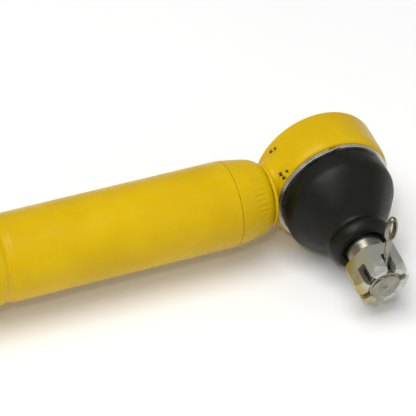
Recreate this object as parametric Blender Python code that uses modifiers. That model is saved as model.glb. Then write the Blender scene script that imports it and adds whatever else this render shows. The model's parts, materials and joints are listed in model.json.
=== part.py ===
"""Hydraulic steering damper: a sealed telescopic hydraulic cylinder with a ball joint at each end.

The cylinder lies along X. Ball joint A (the base end) is at +X and ball joint B (the rod end) at -X.
Both studs point along -Y, and the stud of joint A hangs a few degrees below the horizontal.
The part rests on the round sides of the two ball joint housings.
"""

import math

import bmesh
import bpy
from mathutils import Matrix, Vector

MM = 0.001

# How round the turned pieces are
SEGMENTS_LARGE = 32
SEGMENTS_MEDIUM = 20
SEGMENTS_SMALL = 12

# Overall layout, in mm. Stations along the cylinder count from the centre of ball A towards the rod end.
BALL_SPACING = 470.0
STUD_LEAN_A = 6.9
RUNNING_GAP = 0.3

# Body tube
TUBE_RADIUS = 18.5
TUBE_WALL = 2.0
TUBE_START = 45.9
TUBE_END = 362.2
GROOVE_STATION = 148.3
GROOVE_DEPTH = 0.8
TUBE_BORE = TUBE_RADIUS - TUBE_WALL

# Base cup
CUP_SKIRT_END = 58.0

# Piston group, at the middle of its stroke
PISTON_START = 234.0
PISTON_END = 250.0
PISTON_RADIUS = TUBE_BORE - 0.5
ROD_RADIUS = 7.0
ROD_SPIGOT_RADIUS = 5.0
ROD_SHOULDER = 254.0

# Rod guide group
GUIDE_START = 336.0
GUIDE_END = 358.0
GUIDE_RADIUS = TUBE_BORE - 0.3

# Shroud over the rod
SHROUD_RADIUS = 20.8
SHROUD_LIP_RADIUS = 21.3
SHROUD_WALL = 1.1
SHROUD_START = 281.0
CAP_START = 436.4
CAP_END = 440.3

# Floating piston between the oil and the gas
FLOATING_START = 93.0
FLOATING_END = 107.0

# Ball joint, stations along the stud from the ball centre
DRUM_RADIUS = 27.8
DRUM_BACK = -11.9
DRUM_FRONT = 7.3
COLLAR_RADIUS = 22.5
COLLAR_BACK = -16.6
SOCKET_RADIUS = 16.5
COVER_RADIUS = 19.2
BALL_RADIUS = 10.5
NECK_FACE = 28.9
NECK_RADIUS = 12.4
SHANK_RADIUS = 8.1
SHANK_END = 41.0
THREAD_START = 47.2
THREAD_RADIUS = 7.0
STUD_END = 61.9

# Castle nut
NUT_ACROSS_FLATS = 22.2
NUT_BASE = 47.6
NUT_TIP = 61.4
NUT_SLOT_FLOOR = 53.2
NUT_SLOT_WIDTH = 4.0
NUT_TIP_RADIUS = 10.3
NUT_TURN = 112.9

# Split pin
PIN_WIDTH = 2.8
PIN_LEG_THICKNESS = 1.25
PIN_STATION = 56.6
PIN_CROSSING_RADIUS = 5.5
PIN_DEPTH_TO_CROSSING = 1.55
PIN_LEAN = 14.8
PIN_LENGTH = 26.8
PIN_EYE_LENGTH = 10.0
PIN_EYE_HALF_WIDTH = 3.5

# Boot
BOOT_STILL_UP_TO = 12.0
BOOT_FOLLOWS_FROM = 31.0

# The part is centred over the origin and rests on it
FRONT_REACH = NUT_TIP * math.cos(math.radians(STUD_LEAN_A)) + NUT_TIP_RADIUS * math.sin(
    math.radians(STUD_LEAN_A)
)
BACK_REACH = SHROUD_LIP_RADIUS
BALL_A = Vector((BALL_SPACING / 2, (FRONT_REACH - BACK_REACH) / 2, DRUM_RADIUS)) * MM


# ---------------------------------------------------------------------------------------------------------
# Scene, collections and materials
# ---------------------------------------------------------------------------------------------------------
def clear_scene():
    for obj in list(bpy.data.objects):
        bpy.data.objects.remove(obj, do_unlink=True)
    for collection in list(bpy.data.collections):
        bpy.data.collections.remove(collection)


def new_collection(name, rendered=True):
    collection = bpy.data.collections.new(name)
    collection.hide_render = not rendered
    bpy.context.scene.collection.children.link(collection)
    return collection


def principled(name, colour, metallic, roughness):
    material = bpy.data.materials.new(name)
    material.use_nodes = True
    shader = material.node_tree.nodes["Principled BSDF"]
    shader.inputs["Base Color"].default_value = (*colour, 1.0)
    shader.inputs["Metallic"].default_value = metallic
    shader.inputs["Roughness"].default_value = roughness
    return material


def make_materials():
    return {
        "yellow_paint": principled("yellow_paint", (0.78, 0.53, 0.02), 0.0, 0.28),
        "weld_paint": principled("weld_paint", (0.72, 0.48, 0.03), 0.0, 0.4),
        "plated_steel": principled("plated_steel", (0.62, 0.61, 0.57), 1.0, 0.3),
        "yellow_zinc": principled("yellow_zinc", (0.6, 0.56, 0.36), 1.0, 0.35),
        "bare_steel": principled("bare_steel", (0.42, 0.41, 0.38), 1.0, 0.35),
        "chrome_rod": principled("chrome_rod", (0.75, 0.76, 0.78), 1.0, 0.08),
        "spring_steel": principled("spring_steel", (0.3, 0.3, 0.31), 1.0, 0.4),
        "sintered_iron": principled("sintered_iron", (0.2, 0.2, 0.2), 0.9, 0.6),
        "aluminium": principled("aluminium", (0.7, 0.71, 0.72), 1.0, 0.35),
        "bronze": principled("bronze", (0.55, 0.38, 0.18), 1.0, 0.35),
        "black_rubber": principled("black_rubber", (0.018, 0.018, 0.014), 0.0, 0.45),
        "ptfe": principled("ptfe", (0.25, 0.16, 0.09), 0.0, 0.4),
        "acetal": principled("acetal", (0.8, 0.78, 0.7), 0.0, 0.4),
    }


# ---------------------------------------------------------------------------------------------------------
# Building tools
# ---------------------------------------------------------------------------------------------------------
def add_object(name, data, collection, parent):
    obj = bpy.data.objects.new(name, data)
    collection.objects.link(obj)
    obj.parent = parent
    return obj


def add_empty(name, collection, parent=None, location=(0, 0, 0), rotation=(0, 0, 0)):
    empty = add_object(name, None, collection, parent)
    empty.location = location
    empty.rotation_euler = [math.radians(angle) for angle in rotation]
    empty.empty_display_size = 0.01
    return empty


def shade(obj, angle=35):
    obj.data.shade_smooth()
    obj.data.set_sharp_from_angle(angle=math.radians(angle))


def turned(name, outer, inner, kit, segments, material, parent, collection=None):
    """A turned piece. outer and inner are (radius, station) lists, both in rising station order.

    A piece without inner points is solid, and its outer line starts and ends on the axis.
    """
    line = list(reversed(outer)) + list(inner)
    mesh = bpy.data.meshes.new(name)
    points = [(radius * MM, 0.0, station * MM) for radius, station in line]
    edges = [(i, i + 1) for i in range(len(points) - 1)]
    if inner:
        edges.append((len(points) - 1, 0))
    mesh.from_pydata(points, edges, [])
    obj = add_object(name, mesh, collection or kit["collection"], parent)
    screw = obj.modifiers.new("turn", "SCREW")
    screw.axis = "Z"
    screw.steps = segments
    screw.render_steps = segments
    screw.use_merge_vertices = True
    screw.merge_threshold = 0.000001
    screw.use_smooth_shade = True
    obj.data.materials.append(kit["materials"][material])
    return obj


def ring(name, r_outer, r_inner, start, end, kit, segments, material, parent, edge=0.0):
    """A plain turned ring, with chamfers on its outer edges if edge is given."""
    outer = [(r_outer, start), (r_outer, end)]
    if edge:
        outer = [(r_outer - edge, start), (r_outer, start + edge), (r_outer, end - edge), (r_outer - edge, end)]
    inner = [(r_inner, start), (r_inner, end)]
    return turned(name, outer, inner, kit, segments, material, parent)


def apply_modifiers(obj):
    """Turns the object's evaluated shape into its own mesh."""
    graph = bpy.context.evaluated_depsgraph_get()
    mesh = bpy.data.meshes.new_from_object(obj.evaluated_get(graph))
    old = obj.data
    obj.modifiers.clear()
    obj.data = mesh
    bpy.data.meshes.remove(old)
    return obj


def as_cutter(obj):
    obj.hide_render = True
    obj.display_type = "WIRE"
    return obj


def boolean(obj, other, operation):
    modifier = obj.modifiers.new(operation.lower(), "BOOLEAN")
    modifier.operation = operation
    modifier.solver = "EXACT"
    modifier.object = other
    return modifier


def mesh_object(name, bm, kit, material, parent, collection=None):
    bmesh.ops.recalc_face_normals(bm, faces=bm.faces)
    mesh = bpy.data.meshes.new(name)
    bm.to_mesh(mesh)
    bm.free()
    obj = add_object(name, mesh, collection or kit["collection"], parent)
    obj.data.materials.append(kit["materials"][material])
    return obj


def lofted(name, rings, kit, material, parent, closed=False, collection=None):
    """Joins rings of points. An open loft gets end caps, and a closed one joins its last ring to its first."""
    bm = bmesh.new()
    rows = [[bm.verts.new(point) for point in row] for row in rings]
    pairs = list(zip(rows, rows[1:]))
    if closed:
        pairs.append((rows[-1], rows[0]))
    count = len(rows[0])
    for first, second in pairs:
        for i in range(count):
            j = (i + 1) % count
            bm.faces.new((first[i], first[j], second[j], second[i]))
    if not closed:
        bm.faces.new(rows[0])
        bm.faces.new(list(reversed(rows[-1])))
    return mesh_object(name, bm, kit, material, parent, collection)


def box(name, size, location, kit, parent, rotation_z=0.0):
    """A box cutter, sized and placed in mm."""
    bm = bmesh.new()
    bmesh.ops.create_cube(bm, size=1.0)
    bmesh.ops.scale(bm, vec=Vector(size) * MM, verts=bm.verts)
    bmesh.ops.translate(bm, vec=Vector(location) * MM, verts=bm.verts)
    bmesh.ops.rotate(bm, cent=(0, 0, 0), matrix=Matrix.Rotation(rotation_z, 3, "Z"), verts=bm.verts)
    return as_cutter(mesh_object(name, bm, kit, "bare_steel", parent, kit["cutters"]))


def arc(radius, start_angle, end_angle, steps, centre=(0.0, 0.0)):
    """Points on a circle as (radius, station), with angles in degrees from the axis."""
    points = []
    for i in range(steps + 1):
        angle = math.radians(start_angle + (end_angle - start_angle) * i / steps)
        points.append((centre[0] + radius * math.sin(angle), centre[1] - radius * math.cos(angle)))
    return points


# ---------------------------------------------------------------------------------------------------------
# Cylinder pieces, stations along the cylinder
# ---------------------------------------------------------------------------------------------------------
def body_tube(kit, axis):
    g = GROOVE_STATION
    outer = [
        (TUBE_RADIUS - 0.4, TUBE_START),
        (TUBE_RADIUS, TUBE_START + 0.4),
        (TUBE_RADIUS, g - 2.0),
        (TUBE_RADIUS - GROOVE_DEPTH, g - 0.9),
        (TUBE_RADIUS - GROOVE_DEPTH, g + 0.9),
        (TUBE_RADIUS, g + 2.0),
        (TUBE_RADIUS, TUBE_END - 1.8),
        (TUBE_RADIUS - 0.6, TUBE_END - 0.5),
        (TUBE_RADIUS - 1.8, TUBE_END),
    ]
    inner = [
        (TUBE_BORE, TUBE_START),
        (TUBE_BORE, g - 2.6),
        (TUBE_BORE - GROOVE_DEPTH, g - 1.4),
        (TUBE_BORE - GROOVE_DEPTH, g + 1.4),
        (TUBE_BORE, g + 2.6),
        (TUBE_BORE, TUBE_END - 3.0),
        (TUBE_BORE - 1.3, TUBE_END - 1.6),
        (TUBE_BORE - 1.3, TUBE_END),
    ]
    return turned("body_tube", outer, inner, kit, SEGMENTS_LARGE, "yellow_paint", axis)


def base_cup(kit, axis):
    outer = [
        (0.0, 29.2),
        (12.6, 29.2),
        (14.2, 29.9),
        (15.4, 31.3),
        (16.3, 33.6),
        (16.9, 36.2),
        (17.4, 39.0),
        (17.8, 42.0),
        (18.0, TUBE_START - 0.5),
        (TUBE_BORE - RUNNING_GAP, TUBE_START - 0.3),
        (TUBE_BORE - RUNNING_GAP, CUP_SKIRT_END),
        (14.0, CUP_SKIRT_END),
        (14.0, 38.0),
        (12.6, 33.6),
        (10.0, 31.9),
        (0.0, 31.6),
    ]
    return turned("base_cup", outer, [], kit, SEGMENTS_LARGE, "yellow_paint", axis)


def floating_piston(kit, axis):
    seat = (FLOATING_START + FLOATING_END) / 2
    outer = [
        (0.0, FLOATING_START + 4.0),
        (9.0, FLOATING_START + 4.0),
        (10.0, FLOATING_START),
        (15.6, FLOATING_START),
        (16.0, FLOATING_START + 0.5),
        (16.0, seat - 1.9),
        (13.9, seat - 1.9),
        (13.9, seat + 1.9),
        (16.0, seat + 1.9),
        (16.0, FLOATING_END - 0.5),
        (15.6, FLOATING_END),
        (0.0, FLOATING_END),
    ]
    turned("floating_piston", outer, [], kit, SEGMENTS_MEDIUM, "aluminium", axis)
    ring("floating_piston_seal", 16.3, 14.2, seat - 1.6, seat + 1.6, kit, SEGMENTS_MEDIUM, "black_rubber", axis)


def piston_group(kit, axis):
    middle = (PISTON_START + PISTON_END) / 2
    bore = ROD_SPIGOT_RADIUS + RUNNING_GAP
    outer = [
        (PISTON_RADIUS - 0.6, PISTON_START),
        (PISTON_RADIUS, PISTON_START + 0.6),
        (PISTON_RADIUS, middle - 5.3),
        (PISTON_RADIUS - 1.4, middle - 5.3),
        (PISTON_RADIUS - 1.4, middle + 5.3),
        (PISTON_RADIUS, middle + 5.3),
        (PISTON_RADIUS, PISTON_END - 0.6),
        (PISTON_RADIUS - 0.6, PISTON_END),
    ]
    inner = [(bore, PISTON_START), (bore, PISTON_END)]
    piston = turned("piston", outer, inner, kit, SEGMENTS_MEDIUM, "sintered_iron", axis)
    apply_modifiers(piston)
    for i in range(6):
        angle = math.radians(60 * i)
        port = bpy.data.meshes.new("port")
        bm = bmesh.new()
        bmesh.ops.create_cone(bm, cap_ends=True, segments=12, radius1=1.6 * MM, radius2=1.6 * MM, depth=30 * MM)
        bm.to_mesh(port)
        bm.free()
        cutter = as_cutter(add_object(f"cut_piston_port_{i}", port, kit["cutters"], axis))
        cutter.location = Vector((9.6 * math.cos(angle), 9.6 * math.sin(angle), middle)) * MM
        boolean(piston, cutter, "DIFFERENCE")
    ring("piston_band", TUBE_BORE - 0.1, PISTON_RADIUS - 1.1, middle - 5.0, middle + 5.0, kit,
         SEGMENTS_MEDIUM, "ptfe", axis)
    shim_stack("compression_shims", PISTON_START - 0.2, -1, kit, axis)
    shim_stack("rebound_shims", PISTON_END + 0.2, 1, kit, axis)
    ring("compression_washer", 10.0, bore, 230.2, 232.0, kit, SEGMENTS_SMALL, "bare_steel", axis)
    ring("rebound_washer", 10.0, bore, 252.0, 253.7, kit, SEGMENTS_SMALL, "bare_steel", axis)
    ring("rebound_bumper", 12.0, ROD_RADIUS + RUNNING_GAP, 255.0, 263.0, kit, SEGMENTS_SMALL, "black_rubber", axis, 1.2)
    piston_nut(kit, axis)


def shim_stack(name, start, side, kit, axis):
    """A pyramid of thin valve discs, drawn as one stepped ring."""
    steps = [(14.0, 0.0), (14.0, 0.5), (12.4, 0.5), (12.4, 0.9), (10.8, 0.9), (10.8, 1.3)]
    outer = [(radius, start + side * reach) for radius, reach in steps]
    bore = ROD_SPIGOT_RADIUS + RUNNING_GAP
    inner = [(bore, start), (bore, start + side * 1.3)]
    if side < 0:
        outer.reverse()
        inner.reverse()
    return turned(name, outer, inner, kit, SEGMENTS_SMALL, "spring_steel", axis)


def piston_nut(kit, axis):
    bm = bmesh.new()
    start, end = 222.0, 230.0
    bmesh.ops.create_cone(bm, cap_ends=True, segments=6, radius1=9.8 * MM, radius2=9.8 * MM, depth=(end - start) * MM)
    bmesh.ops.translate(bm, vec=(0, 0, (start + end) / 2 * MM), verts=bm.verts)
    nut = mesh_object("piston_nut", bm, kit, "plated_steel", axis)
    hole = turned("cut_piston_nut", [(0, 220), (5.3, 220), (5.3, 232), (0, 232)], [], kit, SEGMENTS_SMALL,
                  "bare_steel", axis, kit["cutters"])
    boolean(nut, as_cutter(hole), "DIFFERENCE")
    return nut


def piston_rod(kit, axis):
    outer = [
        (0.0, 221.0),
        (ROD_SPIGOT_RADIUS - 0.6, 221.0),
        (ROD_SPIGOT_RADIUS, 221.6),
        (ROD_SPIGOT_RADIUS, ROD_SHOULDER),
        (ROD_RADIUS, ROD_SHOULDER + 0.2),
        (ROD_RADIUS, CAP_START - 0.3),
        (ROD_SPIGOT_RADIUS, CAP_START - 0.3),
        (ROD_SPIGOT_RADIUS, CAP_END + 4.0),
        (0.0, CAP_END + 4.0),
    ]
    return turned("piston_rod", outer, [], kit, SEGMENTS_MEDIUM, "chrome_rod", axis)


def rod_guide_group(kit, axis):
    bore = 9.6
    seat = 347.0
    outer = [
        (GUIDE_RADIUS - 0.5, GUIDE_START),
        (GUIDE_RADIUS, GUIDE_START + 0.5),
        (GUIDE_RADIUS, seat - 1.5),
        (GUIDE_RADIUS - 2.0, seat - 1.5),
        (GUIDE_RADIUS - 2.0, seat + 1.5),
        (GUIDE_RADIUS, seat + 1.5),
        (GUIDE_RADIUS, GUIDE_END - 0.5),
        (GUIDE_RADIUS - 0.5, GUIDE_END),
    ]
    inner = [(bore, GUIDE_START), (bore, 351.0), (13.0, 351.0), (13.0, GUIDE_END)]
    turned("rod_guide", outer, inner, kit, SEGMENTS_MEDIUM, "aluminium", axis)
    rod_bore = ROD_RADIUS + RUNNING_GAP
    ring("guide_bush", bore - 0.3, rod_bore, GUIDE_START + 0.5, 350.5, kit, SEGMENTS_SMALL, "bronze", axis)
    ring("guide_o_ring", TUBE_BORE - 0.15, 14.5, seat - 1.2, seat + 1.2, kit, SEGMENTS_MEDIUM, "black_rubber", axis)
    ring("rod_seal", 12.7, rod_bore, 351.4, 357.6, kit, SEGMENTS_MEDIUM, "black_rubber", axis)
    ring("rod_wiper", 14.6, rod_bore, 358.4, 361.4, kit, SEGMENTS_MEDIUM, "black_rubber", axis)


def shroud_group(kit, axis):
    inside = SHROUD_RADIUS - SHROUD_WALL
    outer = [
        (SHROUD_LIP_RADIUS, SHROUD_START),
        (SHROUD_LIP_RADIUS, SHROUD_START + 1.6),
        (SHROUD_RADIUS, SHROUD_START + 2.6),
        (SHROUD_RADIUS, CAP_END),
    ]
    inner = [(inside, SHROUD_START), (inside, CAP_END)]
    turned("dust_shroud", outer, inner, kit, SEGMENTS_LARGE, "yellow_paint", axis)
    ring("shroud_cap", inside - 0.3, ROD_SPIGOT_RADIUS + RUNNING_GAP, CAP_START, CAP_END, kit,
         SEGMENTS_LARGE, "yellow_paint", axis, 0.8)


# ---------------------------------------------------------------------------------------------------------
# Ball joint pieces, stations along the stud from the ball centre. The neck points to local -X.
# ---------------------------------------------------------------------------------------------------------
def neck_rings():
    """Sections of the forged neck, from its round face to the flat-sided root inside the drum."""
    sections = []
    count = 28
    for t in (0.0, 0.12, 0.25, 0.5, 0.75, 1.0):
        blend = t * t * (3 - 2 * t)
        reach = NECK_FACE - 12.0 * t
        pinch = min(t * 4.0, 1.0)
        half_width = NECK_RADIUS + 7.0 * blend
        half_height = NECK_RADIUS - 3.4 * pinch
        middle = -2.6 * pinch
        power = 2.0 / (2.0 + 1.5 * blend)
        row = []
        for k in range(count):
            angle = 2 * math.pi * k / count
            c, s = math.cos(angle), math.sin(angle)
            y = half_width * math.copysign(abs(c) ** power, c)
            z = middle + half_height * math.copysign(abs(s) ** power, s)
            row.append(Vector((-reach, y, z)) * MM)
        sections.append(row)
    return sections


def ball_housing(end, kit, frame, rod_bore):
    outer = [
        (0.0, COLLAR_BACK),
        (COLLAR_RADIUS - 1.2, COLLAR_BACK),
        (COLLAR_RADIUS, COLLAR_BACK + 1.2),
        (COLLAR_RADIUS, DRUM_BACK),
        (DRUM_RADIUS - 0.6, DRUM_BACK),
        (DRUM_RADIUS, DRUM_BACK + 0.6),
        (DRUM_RADIUS - 0.6, DRUM_FRONT - 4.4),
        (DRUM_RADIUS - 1.0, DRUM_FRONT - 2.3),
        (DRUM_RADIUS - 1.7, DRUM_FRONT - 0.7),
        (DRUM_RADIUS - 2.9, DRUM_FRONT),
        (0.0, DRUM_FRONT),
    ]
    housing = turned(f"{end}_ball_housing", outer, [], kit, SEGMENTS_LARGE, "yellow_paint", frame)
    apply_modifiers(housing)
    neck = lofted(f"cut_{end}_neck", neck_rings(), kit, "yellow_paint", frame, collection=kit["cutters"])
    boolean(housing, as_cutter(neck), "UNION")
    socket = [
        (0.0, COLLAR_BACK - 1.0),
        (18.0, COLLAR_BACK - 1.0),
        (18.0, COLLAR_BACK + 0.8),
        (COVER_RADIUS + 0.3, COLLAR_BACK + 0.8),
        (COVER_RADIUS + 0.3, -12.9),
        (SOCKET_RADIUS, -12.9),
        (SOCKET_RADIUS, 5.8),
        (10.0, 5.8),
        (11.7, DRUM_FRONT + 0.2),
        (0.0, DRUM_FRONT + 0.2),
    ]
    cutter = turned(f"cut_{end}_socket", socket, [], kit, SEGMENTS_MEDIUM, "yellow_paint", frame, kit["cutters"])
    boolean(housing, as_cutter(cutter), "DIFFERENCE")
    if rod_bore:
        hole = turned(f"cut_{end}_rod", [(0, 20.0), (5.3, 20.0), (5.3, 40.0), (0, 40.0)], [], kit, SEGMENTS_SMALL,
                      "yellow_paint", frame, kit["cutters"])
        hole.rotation_euler = (0, math.radians(-90), 0)
        hole.location = (-4.0 * MM, 0, 0)
        boolean(housing, as_cutter(hole), "DIFFERENCE")
    shade(housing)
    return housing


def weld_bead(end, kit, frame):
    """The bead round the joint between the neck and the cup or cap."""
    radius = NECK_RADIUS + 0.6
    outer = [(radius, 28.0), (radius + 0.5, 28.1), (radius + 0.7, 28.5), (radius + 0.4, 29.0)]
    inner = [(radius - 0.1, 28.2), (radius - 0.1, 28.8)]
    bead = turned(f"{end}_weld_bead", outer, inner, kit, SEGMENTS_LARGE, "weld_paint", frame)
    bead.rotation_euler = (0, math.radians(-90), 0)
    return bead


def seats_and_cover(end, kit, frame):
    ball_seat = BALL_RADIUS + RUNNING_GAP
    back = arc(ball_seat, 26.0, 88.4, 5)
    outer = [(16.2, -11.2), (16.2, -0.3)]
    inner = [(back[0][0], -11.2)] + back
    turned(f"{end}_back_seat", outer, inner, kit, SEGMENTS_MEDIUM, "acetal", frame)
    front = arc(ball_seat, 90.6, 120.0, 3)
    outer = [(16.2, front[0][1]), (16.2, front[-1][1])]
    turned(f"{end}_front_seat", outer, front, kit, SEGMENTS_MEDIUM, "acetal", frame)
    spring_outer = [(14.0, -12.1), (14.2, -11.5)]
    spring_inner = [(6.8, -13.0), (6.8, -12.4)]
    turned(f"{end}_preload_spring", spring_outer, spring_inner, kit, SEGMENTS_SMALL, "spring_steel", frame)
    turned(f"{end}_cover_plate", [(0, -15.4), (18.9, -15.4), (COVER_RADIUS, -15.1), (COVER_RADIUS, -13.3), (0, -13.3)],
           [], kit, SEGMENTS_MEDIUM, "plated_steel", frame)


def ball_stud(end, kit, stud_frame, nut_turn):
    outer = [(0.0, -9.6)]
    outer += arc(BALL_RADIUS, 23.9, 143.8, 9)
    outer += [
        (6.2, 11.4),
        (7.0, 14.0),
        (SHANK_RADIUS, 17.0),
        (SHANK_RADIUS, SHANK_END),
        (THREAD_RADIUS, THREAD_START),
        (THREAD_RADIUS, STUD_END - 0.9),
        (THREAD_RADIUS - 0.8, STUD_END),
        (0.0, STUD_END),
    ]
    stud = turned(f"{end}_ball_stud", outer, [], kit, SEGMENTS_MEDIUM, "bare_steel", stud_frame)
    apply_modifiers(stud)
    bm = bmesh.new()
    bmesh.ops.create_cone(bm, cap_ends=True, segments=16, radius1=1.9 * MM, radius2=1.9 * MM, depth=30 * MM)
    bmesh.ops.rotate(bm, cent=(0, 0, 0), matrix=Matrix.Rotation(math.radians(90), 3, "Y"), verts=bm.verts)
    cutter = as_cutter(mesh_object(f"cut_{end}_pin_hole", bm, kit, "bare_steel", stud_frame, kit["cutters"]))
    cutter.location = (0, 0, PIN_STATION * MM)
    cutter.rotation_euler = (0, 0, math.radians(nut_turn - 30))
    boolean(stud, cutter, "DIFFERENCE")
    shade(stud)
    return stud


def castle_nut(end, kit, stud_frame, nut_turn):
    corner = NUT_ACROSS_FLATS / math.sqrt(3)
    bm = bmesh.new()
    bmesh.ops.create_cone(bm, cap_ends=True, segments=6, radius1=corner * MM, radius2=corner * MM,
                          depth=(NUT_TIP - NUT_BASE) * MM)
    lowest = min(bm.verts, key=lambda v: (round(v.co.z, 6), -v.co.x))
    start = math.atan2(lowest.co.y, lowest.co.x)
    turn = Matrix.Rotation(math.radians(nut_turn) - start, 3, "Z")
    bmesh.ops.rotate(bm, cent=(0, 0, 0), matrix=turn, verts=bm.verts)
    bmesh.ops.translate(bm, vec=(0, 0, (NUT_TIP + NUT_BASE) / 2 * MM), verts=bm.verts)
    nut = mesh_object(f"{end}_castle_nut", bm, kit, "yellow_zinc", stud_frame)
    crown = [(0, NUT_BASE - 1), (corner + 1, NUT_BASE - 1), (corner + 1, NUT_TIP - 2.6), (NUT_TIP_RADIUS, NUT_TIP),
             (NUT_TIP_RADIUS, NUT_TIP + 1), (0, NUT_TIP + 1)]
    cone = turned(f"cut_{end}_nut_crown", crown, [], kit, SEGMENTS_MEDIUM, "bare_steel", stud_frame, kit["cutters"])
    boolean(nut, as_cutter(cone), "INTERSECT")
    bore_radius = THREAD_RADIUS + RUNNING_GAP
    bore = [(0, NUT_BASE - 2), (bore_radius + 0.8, NUT_BASE - 2), (bore_radius + 0.8, NUT_BASE + 0.1),
            (bore_radius, NUT_BASE + 0.9), (bore_radius, NUT_TIP + 2), (0, NUT_TIP + 2)]
    hole = turned(f"cut_{end}_nut_bore", bore, [], kit, SEGMENTS_MEDIUM, "bare_steel", stud_frame, kit["cutters"])
    boolean(nut, as_cutter(hole), "DIFFERENCE")
    depth = NUT_TIP + 3 - NUT_SLOT_FLOOR
    for i in range(3):
        angle = math.radians(nut_turn - 30 + 60 * i)
        slot = box(f"cut_{end}_nut_slot_{i}", (40.0, NUT_SLOT_WIDTH, depth),
                   (0, 0, NUT_SLOT_FLOOR + depth / 2), kit, stud_frame, angle)
        boolean(nut, slot, "DIFFERENCE")
    return nut


def split_pin(end, kit, stud_frame, nut_turn):
    """A split pin of half-round wire. It is only just started in the stud's hole, and leans back in its slot."""
    half_gap = 0.06
    neck = PIN_LENGTH - PIN_EYE_LENGTH
    bulge = PIN_EYE_HALF_WIDTH - PIN_LEG_THICKNESS
    line = [(0.0, -half_gap), (neck - 1.0, -half_gap)]
    steps = 10
    for i in range(steps + 1):
        angle = math.pi * i / steps
        side = -math.cos(angle)
        along = neck + (PIN_EYE_LENGTH - PIN_LEG_THICKNESS) * (1 - abs(side) ** 2.2)
        line.append((along, side * (half_gap + (bulge - half_gap) * min(1.35 * math.sin(angle) ** 0.8, 1.0))))
    line += [(neck - 1.0, half_gap), (1.5, half_gap)]
    line = [Vector(point) for point in line]
    crossing = Vector((PIN_CROSSING_RADIUS, 0, PIN_STATION))
    turn = Matrix.Rotation(math.radians(nut_turn - 30), 3, "Z")
    lean = Matrix.Rotation(math.radians(PIN_LEAN), 3, "Y")
    sections = []
    for i, here in enumerate(line):
        ahead = (line[min(i + 1, len(line) - 1)] - line[max(i - 1, 0)]).normalized()
        section = []
        for k in range(7):
            angle = math.radians(-90 + 30 * k)
            rise = PIN_LEG_THICKNESS * math.cos(angle)
            point = Vector((here.x + ahead.y * rise - PIN_DEPTH_TO_CROSSING, here.y - ahead.x * rise,
                            PIN_WIDTH / 2 * math.sin(angle)))
            section.append(turn @ (crossing + lean @ point) * MM)
        sections.append(section)
    pin = lofted(f"{end}_split_pin", sections, kit, "bare_steel", stud_frame)
    shade(pin, 50)
    return pin


def boot_profile():
    """The boot's section as (radius, station), once round."""
    outside = [
        (21.7, 7.7), (21.7, 9.6), (22.5, 11.4), (23.6, 13.4), (24.3, 15.6), (24.2, 17.4), (22.9, 20.0),
        (19.2, 25.2), (16.2, 28.8), (13.8, 31.6), (13.1, 32.8), (13.1, 33.9), (13.7, 35.0), (13.8, 36.6),
        (13.1, 38.6), (11.8, 39.9), (10.2, 40.1), (8.9, 39.2), (8.5, 37.7),
    ]
    inside = [(9.8, 37.6), (9.8, 34.6), (11.4, 30.4), (20.6, 16.6), (21.0, 14.0), (19.4, 10.8), (19.0, 7.7)]
    return outside + inside


def boot(end, kit, frame, lean):
    """The rubber boot, which follows the stud's lean from its shoulder up."""
    count = SEGMENTS_LARGE
    rows = []
    for radius, station in boot_profile():
        t = (station - BOOT_STILL_UP_TO) / (BOOT_FOLLOWS_FROM - BOOT_STILL_UP_TO)
        t = min(max(t, 0.0), 1.0)
        turn = Matrix.Rotation(math.radians(lean) * t * t * (3 - 2 * t), 3, "X")
        row = []
        for k in range(count):
            angle = 2 * math.pi * k / count
            point = Vector((radius * math.cos(angle), radius * math.sin(angle), station))
            row.append(turn @ point * MM)
        rows.append(row)
    obj = lofted(f"{end}_boot", rows, kit, "black_rubber", frame, closed=True)
    shade(obj, 50)
    return obj


def boot_rings(end, kit, frame, stud_frame):
    outer = [(25.5, 7.6), (25.5, 8.5), (25.0, 9.2)]
    inner = [(22.0, 7.6), (22.0, 9.2)]
    turned(f"{end}_retaining_ring", outer, inner, kit, SEGMENTS_LARGE, "plated_steel", frame)
    ring(f"{end}_boot_sleeve", 9.5, SHANK_RADIUS + RUNNING_GAP, 34.8, 37.3, kit, SEGMENTS_MEDIUM, "spring_steel",
         stud_frame)


def ball_joint(end, kit, location, neck_turn, lean, rod_bore):
    frame = add_empty(f"{end}_housing_axis", kit["collection"], kit["root"], location, (90, 0, 0))
    if neck_turn:
        frame.rotation_euler = (Matrix.Rotation(math.radians(90), 3, "X")
                                @ Matrix.Rotation(math.radians(neck_turn), 3, "Z")).to_euler()
    stud_frame = add_empty(f"{end}_stud_axis", kit["collection"], frame, (0, 0, 0), (lean, 0, 0))
    ball_housing(end, kit, frame, rod_bore)
    weld_bead(end, kit, frame)
    seats_and_cover(end, kit, frame)
    nut_turn = NUT_TURN - neck_turn
    ball_stud(end, kit, stud_frame, nut_turn)
    castle_nut(end, kit, stud_frame, nut_turn)
    split_pin(end, kit, stud_frame, nut_turn)
    boot(end, kit, frame, lean)
    boot_rings(end, kit, frame, stud_frame)


def main():
    clear_scene()
    kit = {
        "collection": new_collection("hydraulic_steering_damper"),
        "cutters": new_collection("cutters", rendered=False),
        "materials": make_materials(),
    }
    kit["root"] = add_empty("damper_origin", kit["collection"])
    axis = add_empty("cylinder_axis", kit["collection"], kit["root"], BALL_A, (0, -90, 0))
    body_tube(kit, axis)
    base_cup(kit, axis)
    floating_piston(kit, axis)
    piston_group(kit, axis)
    piston_rod(kit, axis)
    rod_guide_group(kit, axis)
    shroud_group(kit, axis)
    ball_b = BALL_A - Vector((BALL_SPACING * MM, 0, 0))
    ball_joint("a", kit, BALL_A, 0.0, STUD_LEAN_A, rod_bore=False)
    ball_joint("b", kit, ball_b, 180.0, 0.0, rod_bore=True)


main()
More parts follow.
